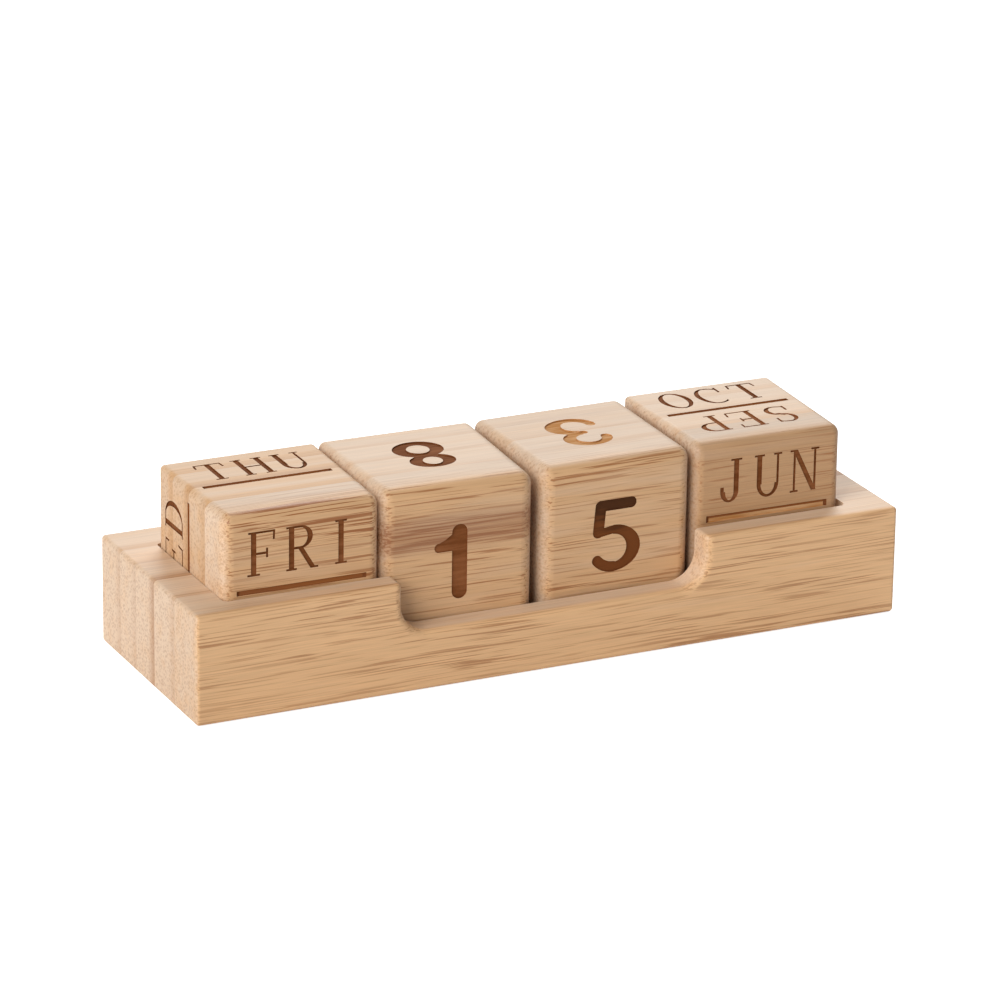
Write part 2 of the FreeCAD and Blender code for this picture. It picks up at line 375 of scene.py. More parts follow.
def burnt_bamboo(name, deep, light, turn, corner, fade=0.0):
    """Bamboo burnt away by a laser: a matt char floor, browner where the fibres resist.

    fade is how much the burn weakens from the top of a figure to its foot.
    """
    material, tree, shader = new_material(name)
    place = strip_place(tree, corner, turn)
    # Soft tissue between the bundles, about 0.8 mm wide, burns deeper and darker.
    fibres = noise(tree, place, (9, 0.8, 0.8), 3.0, 2.0)["Fac"]
    # The burn is uneven over about a centimetre.
    patches = noise(tree, place, (16, 9, 9), 7.0, 1.0)["Fac"]
    height = add(tree, "ShaderNodeSeparateXYZ", {0: place}).outputs[2]
    weaker = ramp(tree, height, 29.0, 17.0, -0.5 * fade, fade)
    resisted = maths(tree, "ADD", maths(tree, "ADD", fibres, patches), weaker)
    char = laid_over(tree, ramp(tree, resisted, 0.85, 1.34), (*deep, 1), light)
    tree.links.new(char, shader.inputs["Base Color"])
    bump = add(
        tree, "ShaderNodeBump", {"Height": fibres, "Strength": 0.4, "Distance": 0.15 * MM}
    ).outputs[0]
    tree.links.new(bump, shader.inputs["Normal"])
    shader.inputs["Roughness"].default_value = 0.8
    shader.inputs["Specular IOR Level"].default_value = 0.1
    return material


# ---------------------------------------------------------------- figures, drawn in millimetres

# A letter is drawn upright in a box 11 mm high from its strokes. Each stroke is one of
#   ("slope", x at the foot, foot, x at the top, top, width)  upright or slanting
#   ("beam", left, right, height, thickness)                  level
#   ("bowl", centre x, centre y, (radii), (inner radii), sides, share)  a ring, or the part
#       of it on the named sides of its centre: r, l, t or b. The share is left out, or is
#       how much of the outer radius the part reaches across.
THICK = 1.35
THIN = 0.6
SERIF = 0.5
# Where the middle of a letter is, from its left.
LETTER_MIDDLE = 4.2
# How far a cutter stands out of the face that it cuts.
RISE = 0.6
# How many corners a whole ring has, and how many degrees each step of an arc turns.
RING_CORNERS = 48
ARC_STEP = 9


def foot(x, y, reach=1.35):
    """A serif across a stroke's end."""
    return ("beam", x - reach, x + reach, y, SERIF)


def stem(x, width=THICK, low=0.0, high=11.0):
    """An upright stroke."""
    return ("slope", x, low, x, high, width)


BASE = SERIF / 2
TOP = 11 - SERIF / 2
LETTERS = {
    "A": (
        ("slope", 1.1, 0, 4.1, 11, THIN), ("slope", 7.2, 0, 4.3, 11, THICK),
        ("beam", 2.0, 6.2, 3.7, THIN), foot(1.1, BASE, 1.1), foot(7.1, BASE),
    ),
    "B": (
        stem(1.6), foot(1.6, BASE), foot(1.6, TOP), ("beam", 1.6, 4.0, 5.8, THIN),
        ("beam", 1.6, 4.0, TOP, SERIF), ("beam", 1.6, 4.0, BASE, SERIF),
        ("bowl", 3.9, 8.3, (2.9, 2.7), (1.6, 2.15), "r"),
        ("bowl", 3.9, 3.05, (3.4, 3.05), (2.05, 2.5), "r"),
    ),
    "C": (
        ("bowl", 4.2, 5.5, (3.9, 5.6), (2.6, 5.05), "l"),
        ("bowl", 4.2, 5.5, (5.2, 5.6), (4.6, 5.0), "rt", 0.56),
        ("bowl", 4.2, 5.5, (4.6, 5.6), (4.0, 5.0), "rb", 0.6), stem(7.3, THIN, 7.4, 10.9),
    ),
    "D": (
        stem(1.5), foot(1.5, BASE), foot(1.5, TOP), ("beam", 1.5, 3.6, TOP, SERIF),
        ("beam", 1.5, 3.6, BASE, SERIF), ("bowl", 3.5, 5.5, (4.3, 5.5), (2.95, 5.0), "r"),
    ),
    "E": (
        stem(1.8), foot(1.8, BASE), foot(1.8, TOP), ("beam", 1.8, 7.0, TOP, SERIF),
        ("beam", 1.8, 5.3, 5.7, THIN), ("beam", 1.8, 7.4, BASE, SERIF),
        ("slope", 6.9, 8.7, 7.0, 11, SERIF), ("slope", 5.2, 4.6, 5.2, 6.9, SERIF),
        ("slope", 7.6, 2.8, 7.2, 0, SERIF),
    ),
    "F": (
        stem(1.8), foot(1.8, BASE, 1.6), foot(1.8, TOP), ("beam", 1.8, 7.0, TOP, SERIF),
        ("beam", 1.8, 5.3, 5.5, THIN), ("slope", 6.9, 8.6, 7.0, 11, SERIF),
        ("slope", 5.2, 4.3, 5.2, 6.7, SERIF),
    ),
    "G": (
        ("bowl", 4.2, 5.5, (3.9, 5.6), (2.6, 5.05), "l"),
        ("bowl", 4.2, 5.5, (5.2, 5.6), (4.6, 5.0), "rt", 0.54),
        ("bowl", 4.2, 5.5, (4.6, 5.6), (4.0, 5.0), "rb", 0.46),
        stem(6.8, THICK, 0.5, 4.6), foot(6.8, 4.6, 1.2), stem(7.2, THIN, 7.5, 10.9),
    ),
    "H": (
        stem(1.7), stem(6.9), ("beam", 1.7, 6.9, 5.6, THIN),
        foot(1.7, BASE), foot(1.7, TOP), foot(6.9, BASE), foot(6.9, TOP),
    ),
    "I": (stem(4.2), foot(4.2, BASE, 1.5), foot(4.2, TOP, 1.5)),
    "J": (
        stem(5.4, THICK, 2.6, 11), foot(5.4, TOP, 1.5),
        ("bowl", 3.6, 2.7, (2.47, 2.8), (1.15, 2.2), "b"), stem(1.6, 0.95, 2.6, 3.9),
    ),
    "L": (
        stem(1.8), foot(1.8, BASE), foot(1.8, TOP, 1.6), ("beam", 1.8, 7.2, BASE, SERIF),
        ("slope", 7.4, 2.9, 7.0, 0, SERIF),
    ),
    "M": (
        stem(1.2, THIN), ("slope", 4.3, 0.4, 1.5, 11, THICK), ("slope", 4.3, 0.4, 7.2, 11, THIN),
        stem(7.4), foot(1.2, BASE, 0.95), foot(7.4, BASE, 1.3), foot(1.1, TOP, 0.8),
        foot(7.8, TOP, 0.8),
    ),
    "N": (
        stem(1.5, THIN), ("slope", 6.9, 0, 1.6, 11, THICK), stem(7.1, THIN), foot(1.5, BASE, 1.1),
        foot(1.2, TOP, 0.9), foot(7.1, TOP, 1.1),
    ),
    "O": (("bowl", 4.3, 5.5, (4.0, 5.6), (2.65, 5.05), ""),),
    "P": (
        stem(1.7), foot(1.7, BASE, 1.6), foot(1.7, TOP), ("beam", 1.7, 4.1, TOP, SERIF),
        ("beam", 1.7, 4.1, 5.2, THIN), ("bowl", 4.0, 8.0, (3.3, 3.0), (1.95, 2.5), "r"),
    ),
    "R": (
        stem(1.5), foot(1.5, BASE), foot(1.5, TOP), ("beam", 1.5, 3.9, TOP, SERIF),
        ("beam", 1.5, 3.9, 5.5, THIN), ("bowl", 3.8, 8.15, (3.1, 2.85), (1.75, 2.35), "r"),
        ("slope", 7.0, 0, 3.7, 5.6, THICK), foot(7.3, BASE, 1.0),
    ),
    "S": (
        ("bowl", 4.1, 8.15, (2.9, 2.95), (1.7, 2.4), "l"),
        ("bowl", 4.1, 8.15, (4.0, 2.95), (3.4, 2.4), "rt", 0.58),
        ("bowl", 4.3, 2.85, (3.1, 2.95), (1.8, 2.4), "r"),
        ("bowl", 4.3, 2.85, (4.4, 2.95), (3.8, 2.4), "lb", 0.57),
        ("slope", 5.3, 4.7, 3.1, 6.3, 1.6), stem(6.6, THIN, 7.9, 10.8), stem(1.6, THIN, 0.2, 3.1),
    ),
    "T": (
        stem(4.2), foot(4.2, BASE, 1.6), ("beam", 0.8, 7.6, TOP, SERIF),
        ("slope", 0.7, 8.5, 1.0, 11, SERIF), ("slope", 7.7, 8.5, 7.4, 11, SERIF),
    ),
    "U": (
        stem(1.8, THICK, 3.3, 11), stem(6.8, THIN, 3.3, 11), foot(1.8, TOP), foot(6.8, TOP, 1.1),
        ("bowl", 4.1, 3.4, (2.98, 3.5), (1.9, 2.8), "b"),
    ),
    "V": (
        ("slope", 4.2, 0, 1.2, 11, THICK), ("slope", 4.2, 0, 7.1, 11, THIN),
        foot(1.2, TOP), foot(7.1, TOP, 1.1),
    ),
    "W": (
        ("slope", 2.6, 0, 0.9, 11, 1.2), ("slope", 2.6, 0, 4.2, 11, THIN),
        ("slope", 6.0, 0, 4.2, 11, 1.2), ("slope", 6.0, 0, 7.7, 11, THIN),
        foot(0.9, TOP, 0.95), foot(4.2, TOP, 0.9), foot(7.7, TOP, 0.8),
    ),
    "Y": (
        ("slope", 4.2, 5.0, 1.2, 11, THICK), ("slope", 4.2, 5.0, 7.1, 11, THIN),
        stem(4.2, THICK, 0, 5.3), foot(4.2, BASE, 1.5), foot(1.2, TOP), foot(7.1, TOP, 1.0),
    ),
}

# A digit is drawn about its middle, 19 mm high, from the same strokes and two more:
#   ("patch", corners)                       a flat outline
#   ("path", start, heading, width, moves)   a stroke with round ends, from its start along
#       moves: ("run", length) or ("arc", radius, degrees), where positive turns left
PEN = 3.3
DIGITS = {
    "0": (("bowl", 0, 0, (6.0, 9.2), (2.6, 6.4), ""),),
    "1": (
        ("path", (0.7, -7.25), 90, 3.95, (("run", 14.9),)),
        ("path", (-4.7, 4.2), 0, 2.3, (("run", 4.0),)),
        (
            "patch",
            ((-4.7, 3.1), (0, 3.1), (1.6, 9.2), (0.2, 9.2), (-1.1, 7.4), (-3, 6.05), (-4.7, 5.3)),
        ),
    ),
    "2": (
        ("path", (-4.2, 4.0), 84, PEN, (("arc", 4.0, -214), ("run", 9.4))),
        ("path", (-4.3, -7.7), 0, 2.9, (("run", 8.8),)),
    ),
    "3": (
        ("bowl", -0.5, -4.1, (7.1, 5.6), (2.9, 3.3), "r"),
        ("bowl", -0.5, -4.1, (6.2, 5.6), (3.7, 3.3), "lb"),
        ("bowl", -0.5, 4.8, (6.5, 5.0), (3.1, 2.8), "r"),
        ("bowl", -0.5, 4.8, (6.0, 5.0), (3.2, 2.8), "lt"),
        ("path", (-5.45, -4.4), -90, 2.5, (("run", 0.6),)),
        ("path", (-5.1, 4.9), 90, 2.7, (("run", 0.4),)),
        ("path", (-1.2, 0.6), 0, 2.0, (("run", 2.4),)),
    ),
    "4": (
        ("path", (1.4, 7.7), -124, 3.0, (("run", 12.0),)),
        ("path", (-5.0, -3.1), 0, 3.0, (("run", 10.4),)),
        ("path", (1.8, 7.7), -90, PEN, (("run", 15.6),)),
    ),
    "5": (
        ("path", (-4.2, 7.85), 0, 2.8, (("run", 8.1),)),
        ("path", (-4.25, 7.8), -95, 2.95, (("run", 6.6),)),
        ("path", (-4.7, 0.95), 8, 2.1, (("run", 4.4),)),
        ("bowl", -0.8, -3.3, (7.3, 5.95), (3.6, 3.6), "r"),
        ("path", (-5.05, -6.05), -50, 2.7, (("arc", 5.55, 50),)),
    ),
    "6": (
        ("bowl", 0, -3.7, (6.2, 5.5), (2.8, 2.9), ""),
        ("path", (3.0, 7.7), 190, 3.0, (("arc", 9.8, 74),)),
    ),
    "7": (
        ("path", (-4.5, 7.8), 0, 2.9, (("run", 9.0),)),
        ("path", (4.4, 7.6), -114, PEN, (("run", 16.6),)),
    ),
    "8": (
        ("bowl", 0, -3.7, (6.4, 5.5), (2.85, 2.9), ""),
        ("bowl", -0.3, 4.75, (5.8, 4.4), (2.4, 2.5), ""),
    ),
}


def move_corners(piece, made, step):
    """Move the corners among an operator's result."""
    corners = [item for item in made if isinstance(item, bmesh.types.BMVert)]
    bmesh.ops.translate(piece, vec=step, verts=corners)


def flat_prism(corners, sink, rise):
    """A cutter with this outline, from sink below the face to rise above it."""
    piece = bmesh.new()
    face = piece.faces.new([piece.verts.new((x, y, -sink)) for x, y in corners])
    made = bmesh.ops.extrude_face_region(piece, geom=[face])["geom"]
    move_corners(piece, made, (0, 0, sink + rise))
    return piece


def bar(left, right, height, thickness, sink, rise):
    """A cutter for a level bar about a height."""
    low, high = height - thickness / 2, height + thickness / 2
    return flat_prism(((left, low), (right, low), (right, high), (left, high)), sink, rise)


def ring_prism(middle, outer, inner, sides, share, sink, rise):
    """A cutter that is a ring, or the part of one on the named sides of its middle.

    A share other than 0 ends the part at that share of its outer radius.
    """
    piece = bmesh.new()
    for radii in (outer, inner):
        rim = bmesh.ops.create_circle(piece, segments=RING_CORNERS, radius=1.0)["verts"]
        bmesh.ops.scale(piece, vec=(radii[0], radii[1], 1.0), verts=rim)
    bmesh.ops.bridge_loops(piece, edges=piece.edges[:])
    ways = {"r": (-1, 0), "l": (1, 0), "t": (0, -1), "b": (0, 1)}
    cuts = [((0, 0), ways[side]) for side in sides]
    if share:
        outwards = 1 if "r" in sides else -1
        cuts.append(((outwards * share * outer[0], 0), (outwards, 0)))
    for (x, y), (across, up) in cuts:
        bmesh.ops.bisect_plane(
            piece, geom=[*piece.verts, *piece.edges, *piece.faces], dist=1e-6,
            plane_co=(x, y, 0), plane_no=(across, up, 0), clear_outer=True,
        )
    bmesh.ops.translate(piece, vec=(middle[0], middle[1], -sink), verts=piece.verts)
    made = bmesh.ops.extrude_face_region(piece, geom=piece.faces[:])["geom"]
    move_corners(piece, made, (0, 0, sink + rise))
    return piece


def upright_edges(items):
    """The upright edges among these. A cutter's other edges are level."""
    edges = [item for item in items if isinstance(item, bmesh.types.BMEdge)]
    return [edge for edge in edges if abs(edge.verts[0].co.z - edge.verts[1].co.z) > RISE / 2]


def round_stroke(start, heading, width, moves, sink, rise):
    """A cutter that follows a path with one width and ends round."""
    piece = bmesh.new()
    half = width / 2
    section = ((-half, -sink), (half, -sink), (half, rise), (-half, rise))
    face = piece.faces.new([piece.verts.new((-half, y, z)) for y, z in section])
    near_end = upright_edges(face.edges)
    last = [face, *face.edges, *face.verts]
    here, way = Vector((-half, 0, 0)), 0.0
    for kind, *amounts in (("run", half), *moves, ("run", half)):
        if kind == "run":
            step = Matrix.Rotation(way, 3, "Z") @ Vector((amounts[0], 0, 0))
            last = bmesh.ops.extrude_face_region(piece, geom=last)["geom"]
            move_corners(piece, last, step)
            here += step
        else:
            radius, angle = amounts[0], math.radians(amounts[1])
            side = Matrix.Rotation(way, 3, "Z") @ Vector((0, math.copysign(radius, angle), 0))
            last = bmesh.ops.spin(
                piece, geom=last, cent=here + side, axis=(0, 0, 1), angle=angle,
                steps=max(2, round(abs(amounts[1]) / ARC_STEP)), use_merge=False,
            )["geom_last"]
            here = here + side - Matrix.Rotation(angle, 3, "Z") @ side
            way += angle
    bmesh.ops.bevel(
        piece, geom=near_end + upright_edges(last), offset=0.97 * half, segments=7,
        profile=0.5, affect="EDGES", material=-1,
    )
    turn = Matrix.Rotation(math.radians(heading), 4, "Z")
    bmesh.ops.transform(piece, matrix=Matrix.Translation((*start, 0)) @ turn, verts=piece.verts)
    return piece


def figure_cutters(strokes, sink, rise):
    """The cutters of one letter or digit."""
    pieces = []
    for number, (kind, *drawn) in enumerate(strokes):
        # Strokes that cross are sunk a few micrometres apart, so no two floors coincide.
        deep = sink + 0.004 * number
        if kind == "slope":
            x_0, y_0, x_1, y_1, width = drawn
            half = width / 2
            outline = ((x_0 - half, y_0), (x_0 + half, y_0), (x_1 + half, y_1), (x_1 - half, y_1))
            pieces.append(flat_prism(outline, deep, rise))
        elif kind == "beam":
            left, right, height, thickness = drawn
            pieces.append(bar(left, right, height, thickness, deep, rise))
        elif kind == "patch":
            pieces.append(flat_prism(drawn[0], deep, rise))
        elif kind == "path":
            pieces.append(round_stroke(*drawn, deep, rise))
        else:
            x, y, outer, inner, sides, *share = drawn
            pieces.append(ring_prism((x, y), outer, inner, sides, sum(share), deep, rise))
    return pieces


# ---------------------------------------------------------------- what each cube's faces say

BURNT, SINGED, BROWNED, TOASTED = 1, 2, 3, 4

# side: (digit, tone, turned upside down, moved right and up in millimetres)
DIGIT_FACES = {
    "tens": {
        "front": ("1", SINGED, False, (-0.3, -0.1)),
        "top": ("8", SINGED, True, (0.2, 1.4)),
        "right": ("2", SINGED, False, (0, 0)),
        "back": ("0", BURNT, False, (0, 0)),
        "left": ("6", SINGED, False, (0, 0)),
        "bottom": ("7", SINGED, False, (0, 0)),
    },
    "units": {
        "front": ("5", BURNT, False, (-0.2, 0.5)),
        "top": ("3", TOASTED, True, (-0.5, 0.8)),
        "right": ("0", SINGED, False, (0, 0)),
        "back": ("2", SINGED, False, (0, 0)),
        "left": ("1", SINGED, False, (0, 0)),
        "bottom": ("4", SINGED, False, (0, 0)),
    },
}

# A rule wider than this gets a paler middle, and a darker line along its upper edge that is
# painted shade, where the groove's upper wall would shade its floor.
WIDE_RULE = 1.6
# How wide that line of painted shade along a wide rule's upper edge is.
RULE_SHADE_LINE = 0.7
# How long the darker spots at a rule's ends are.
RULE_SPOT = 0.8

# side: (upright word, word on the other half and upside down, rule's height and width)
WORD_FACES = {
    "weekday": {
        "front": ("FRI", "", 20.5, 1.2), "top": ("THU", "", 20.6, 1.5),
        "left": ("WED", "", 21.3, 1.2), "right": ("TUE", "", 20.6, 1.4),
        "back": ("MON", "", 20.6, 1.4), "bottom": ("SAT", "SUN", 20.0, 1.4),
    },
    "month": {
        "front": ("JUN", "MAY", 20.4, 1.7), "top": ("OCT", "SEP", 22.1, 1.5),
        "left": ("DEC", "NOV", 20.6, 1.4), "right": ("AUG", "JUL", 20.6, 1.4),
        "back": ("FEB", "JAN", 20.6, 1.4), "bottom": ("APR", "MAR", 20.6, 1.4),
    },
}


def face_frame(side, length):
    """From a face's own x, y and height above it, to the cube's millimetres."""
    corners = {
        "front": ((0, 0, 0), (1, 0, 0), (0, 0, 1)),
        "back": ((length, length, 0), (-1, 0, 0), (0, 0, 1)),
        "left": ((0, 0, 0), (0, 0, 1), (0, 1, 0)),
        "right": ((length, 0, 0), (0, 1, 0), (0, 0, 1)),
        "top": ((0, 0, length), (1, 0, 0), (0, 1, 0)),
        "bottom": ((0, length, 0), (1, 0, 0), (0, -1, 0)),
    }
    origin, right, up = (Vector(part) for part in corners[side])
    columns = Matrix((right, up, right.cross(up))).transposed()
    return Matrix.Translation(origin) @ columns.to_4x4()


def figure_mesh(piece, matrix, tone):
    """A cutter turned to its face, closed, facing outwards and marked with its tone."""
    bmesh.ops.transform(piece, matrix=matrix, verts=piece.verts)
    bmesh.ops.recalc_face_normals(piece, faces=piece.faces)
    for face in piece.faces:
        face.material_index = tone
    mesh = bpy.data.meshes.new("figure")
    piece.to_mesh(mesh)
    piece.free()
    return mesh


def word_cutters(word, matrix, base, sizes, tone):
    """The cutters of one word whose letters stand on this height."""
    pitch = sizes.letter_pitch / MM
    sink = sizes.burn_depth / MM
    middle = sizes.cube_side / MM / 2
    made = []
    for number, letter in enumerate(word):
        left = middle - LETTER_MIDDLE + pitch * (number - 1)
        place = matrix @ Matrix.Translation((left, base, 0))
        for piece in figure_cutters(LETTERS[letter], sink, RISE):
            made.append(figure_mesh(piece, place, tone))
    return made


def rule_cutters(height, width, matrix, sizes):
    """The rule between two words, browned, with darker spots where the laser turned.

    A wide rule is burnt paler in its middle, with a darker line along its upper edge that is
    painted shade of the groove's upper wall.
    """
    sink = sizes.burn_depth / MM
    left, right = sizes.rule_start / MM, sizes.rule_end / MM
    start, end = left + RULE_SPOT / 2, right - RULE_SPOT / 2
    wide = width > WIDE_RULE
    middle = TOASTED if wide else BROWNED
    made = [figure_mesh(bar(start, end, height, width, sink, RISE), matrix, middle)]
    for near, far in ((left, left + RULE_SPOT), (right - RULE_SPOT, right)):
        spot = bar(near, far, height, width, sink + 0.05, RISE)
        made.append(figure_mesh(spot, matrix, SINGED))
    if wide:
        # Painted shade: a darker line along the rule's upper edge, where the groove's upper wall
        # would shade its floor.
        edge = height + width / 2 - RULE_SHADE_LINE / 2
        made.append(
            figure_mesh(bar(start, end, edge, RULE_SHADE_LINE, sink + 0.025, RISE), matrix, BROWNED)
        )
    return made


def cube_cutters(cube, sizes):
    """All figures of one cube, as cutters in the cube's own millimetres."""
    side_mm = sizes.cube_side / MM
    sink = sizes.burn_depth / MM
    upside_down = Matrix.Translation((side_mm, side_mm, 0)) @ Matrix.Rotation(math.pi, 4, "Z")
    made = []
    for side, (digit, tone, turned, (right, up)) in DIGIT_FACES.get(cube, {}).items():
        matrix = face_frame(side, side_mm)
        place = Matrix.Translation((side_mm / 2 + right, side_mm / 2 + up, 0))
        spin = Matrix.Rotation(math.pi if turned else 0.0, 4, "Z")
        for piece in figure_cutters(DIGITS[digit], sink, RISE):
            made.append(figure_mesh(piece, matrix @ place @ spin, tone))
    gap = sizes.letter_gap / MM
    for side, (upright, other, height, width) in WORD_FACES.get(cube, {}).items():
        matrix = face_frame(side, side_mm)
        made += word_cutters(upright, matrix, height + gap, sizes, SINGED)
        base = side_mm - height + gap
        made += word_cutters(other, matrix @ upside_down, base, sizes, BROWNED)
        made += rule_cutters(height, width, matrix, sizes)
    return made


# ---------------------------------------------------------------- the cubes


def cube_matrix(cube, sizes):
    """Where a cube stands: from its own millimetres, corner at the origin, to the frame."""
    low, high = union_box(strip_names(cube))
    middle = (low + high) / 2
    turn = getattr(sizes, f"{cube}_turn")
    back = Matrix.Translation((-sizes.cube_side / 2,) * 3)
    return Matrix.Translation(middle) @ Matrix.Rotation(turn, 4, "Z") @ back @ Matrix.Scale(MM, 4)


def rounded_block(side, front, back):
    """A cube, in millimetres, sanded rounder at its front edges than at its back ones."""
    block = bmesh.new()
    bmesh.ops.create_cube(block, size=side)
    bmesh.ops.translate(block, vec=(side / 2,) * 3, verts=block.verts)
    curved = bmesh.ops.bevel(
        block, geom=block.edges[:], offset=front, segments=8, profile=0.5,
        affect="EDGES", material=-1,
    )["faces"]
    for face in curved:
        face.smooth = True
    for x in (0, side):
        for z in (0, side):
            corner = Vector((x, side, z))
            near = [spot for spot in block.verts if (spot.co - corner).length < 2 * front]
            bmesh.ops.scale(
                block, vec=(back / front,) * 3, space=Matrix.Translation(-corner), verts=near
            )
    return block


def strip_block(block, side, start, depth):
    """Cut one strip out of a rounded cube and close it where it meets its neighbours."""
    for place, way in ((start, -1), (start + depth, 1)):
        if 0 < place < side:
            cut = bmesh.ops.bisect_plane(
                block, geom=[*block.verts, *block.edges, *block.faces], dist=1e-5,
                plane_co=(0, place, 0), plane_no=(0, way, 0), clear_outer=True,
            )["geom_cut"]
            rim = [item for item in cut if isinstance(item, bmesh.types.BMEdge)]
            for face in bmesh.ops.contextual_create(block, geom=rim)["faces"]:
                face.smooth = False
            for edge in rim:
                edge.smooth = False
    bmesh.ops.recalc_face_normals(block, faces=block.faces)
    return block


def joined(meshes, start, end):
    """One mesh of the cutters that reach between two depths."""
    whole = bmesh.new()
    for mesh in meshes:
        depths = [corner.co.y for corner in mesh.vertices]
        if min(depths) < end and max(depths) > start:
            whole.from_mesh(mesh)
    return whole


def dress(mesh, materials):
    """Put materials on a mesh, in the order that its faces count them in."""
    for material in materials:
        mesh.materials.append(material)


def carve(strip, cutters):
    """Cut the figures out of a strip's mesh and leave it a closed mesh."""
    knife = bpy.data.objects.new("knife", cutters)
    bpy.context.collection.objects.link(knife)
    burn = strip.modifiers.new("burn", "BOOLEAN")
    burn.operation = "DIFFERENCE"
    burn.solver = "EXACT"
    burn.use_self = True
    burn.object = knife
    bpy.context.view_layer.update()
    burnt = strip.evaluated_get(bpy.context.evaluated_depsgraph_get())
    carved = bpy.data.meshes.new_from_object(burnt)
    strip.modifiers.clear()
    strip.data = carved
    carved.name = strip.name
    # The cut leaves slivers below a thousandth of a millimetre, which are closed up.
    clean = bmesh.new()
    clean.from_mesh(carved)
    bmesh.ops.remove_doubles(clean, verts=clean.verts, dist=2e-4)
    bmesh.ops.dissolve_degenerate(clean, edges=clean.edges, dist=1e-4)
    clean.to_mesh(carved)
    clean.free()
    bpy.data.objects.remove(knife)
    bpy.data.meshes.remove(cutters)


def check_closed(piece):
    """Stop if a piece has an open or doubled edge."""
    look = bmesh.new()
    look.from_mesh(piece.data)
    loose = sum(not edge.is_manifold for edge in look.edges)
    look.free()
    if loose:
        raise RuntimeError(f"{piece.name} has {loose} open or doubled edges")


# Each cube's strips, from front to back.
CUBE_BAMBOO = {
    "weekday": (
        Growth(tone=0.2, streaks=1.0, contrast=1.0, skin=1.0, reach=0.9, ends=0.14),
        Growth(tone=0.1, streaks=0.5, skin=1.0, line=0.16, tan=0.5),
        Growth(tone=0.12, streaks=0.5, skin=2.0, line=0.34, tan=0.6),
        Growth(tone=0.12, streaks=0.5, skin=1.6, line=0.2, tan=0.6),
    ),
    "tens": (
        Growth(tone=0.16, streaks=0.8, contrast=0.9, skin=0.9, band=28.0),
        Growth(), Growth(), Growth(),
    ),
    "units": (
        Growth(tone=0.17, streaks=0.8, contrast=0.9, skin=0.9), Growth(tone=0.2, tan=0.05),
        Growth(tone=0.2, tan=0.05), Growth(tone=0.2, tan=0.05),
    ),
    "month": (
        Growth(tone=0.5, streaks=0.65, contrast=0.75, skin=1.0, line=0.3, ends=0.06),
        Growth(skin=0.35, line=0.14),
        Growth(), Growth(),
    ),
}

# The units cube's char fades down its face. The others are burnt evenly.
BURN_FADE = {"units": 0.45}


def burns(cube, turn, corner):
    """A cube's four burnt materials, in the order of their tones."""
    colours = bpy.context.scene.calendar_colours
    fade = BURN_FADE.get(cube, 0.0)
    return (
        burnt_bamboo(f"burnt_bamboo_{cube}", colours.burnt, colours.singed, turn, corner, fade),
        burnt_bamboo(f"singed_bamboo_{cube}", colours.singed, colours.browned, turn, corner),
        burnt_bamboo(f"browned_bamboo_{cube}", colours.browned, colours.fibre, turn, corner),
        burnt_bamboo(f"toasted_bamboo_{cube}", colours.toasted, colours.skin, turn, corner),
    )


def make_cube(cube):
    """Carve one cube: its strips with their bamboo and the figures burnt into them."""
    sizes = bpy.context.scene.calendar_sizes
    side = sizes.cube_side / MM
    front, back = sizes.front_strip / MM, sizes.back_strip / MM
    inner = (side - front - back) / (STRIPS_IN_CUBE - 2)
    matrix = cube_matrix(cube, sizes)
    turn = getattr(sizes, f"{cube}_turn")
    burnt = burns(cube, turn, matrix.translation)
    figures = cube_cutters(cube, sizes)
    start = 0.0
    for number, depth in enumerate((front, inner, inner, back)):
        name = strip_names(cube)[number]
        rounding = (getattr(sizes, f"{cube}{end}_radius") / MM for end in ("", "_back"))
        block = strip_block(rounded_block(side, *rounding), side, start, depth)
        mesh = bpy.data.meshes.new(f"{name}_carved")
        block.to_mesh(mesh)
        block.free()
        strip = bpy.data.objects.new(f"{name}_carved", mesh)
        bpy.context.scene.collection.objects.link(strip)
        # Any seeds do, as long as no two strips share one.
        seed = 3.1 * number + 17.3 * CUBES.index(cube)
        grain = bamboo(
            f"side_pressed_bamboo_{name}", matrix @ Vector((0, start, 0)), turn, depth, seed,
            CUBE_BAMBOO[cube][number],
        )
        dress(mesh, (grain, *burnt))
        knives = joined(figures, start - 0.01, start + depth + 0.01)
        if knives.faces:
            cutters = bpy.data.meshes.new("cutters")
            knives.to_mesh(cutters)
            dress(cutters, (grain, *burnt))
            carve(strip, cutters)
        knives.free()
        check_closed(strip)
        strip.data.transform(matrix)
        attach(strip, f"{cube}_cube")
        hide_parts(name)
        start += depth
    for mesh in figures:
        bpy.data.meshes.remove(mesh)


# ---------------------------------------------------------------- the tray

TRAY_BAMBOO = {
    "tray_front_strip": Growth(
        tone=-0.07, streaks=0.9, contrast=0.68, skin=1.0, reach=0.2, line=0.0, tan=0.2
    ),
    "tray_core_strip_1": Growth(tone=-0.1, streaks=0.8, contrast=0.8, line=0.2),
    "tray_core_strip_2": Growth(tone=-0.1, streaks=0.8, contrast=0.7, skin=0.5, line=0.5),
    "tray_core_strip_3": Growth(tone=-0.1, streaks=0.5, line=0.16),
    "tray_back_strip": Growth(tone=-0.1, streaks=0.5, line=0.2),
}


class CALENDAR_OT_finish_tray(bpy.types.Operator):
    """Give each glued strip of the tray its own bamboo"""

    bl_idname = "calendar.finish_tray"
    bl_label = "Finish Tray"

    def execute(self, context):
        for number, (name, growth) in enumerate(TRAY_BAMBOO.items()):
            low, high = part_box(name)
            seed = 60.7 + 4.3 * number
            grain = bamboo(
                f"side_pressed_bamboo_{name}", low, 0.0, (high.y - low.y) / MM, seed, growth
            )
            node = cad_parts[name]
            node.data.materials.clear()
            node.data.materials.append(grain)
        return {"FINISHED"}


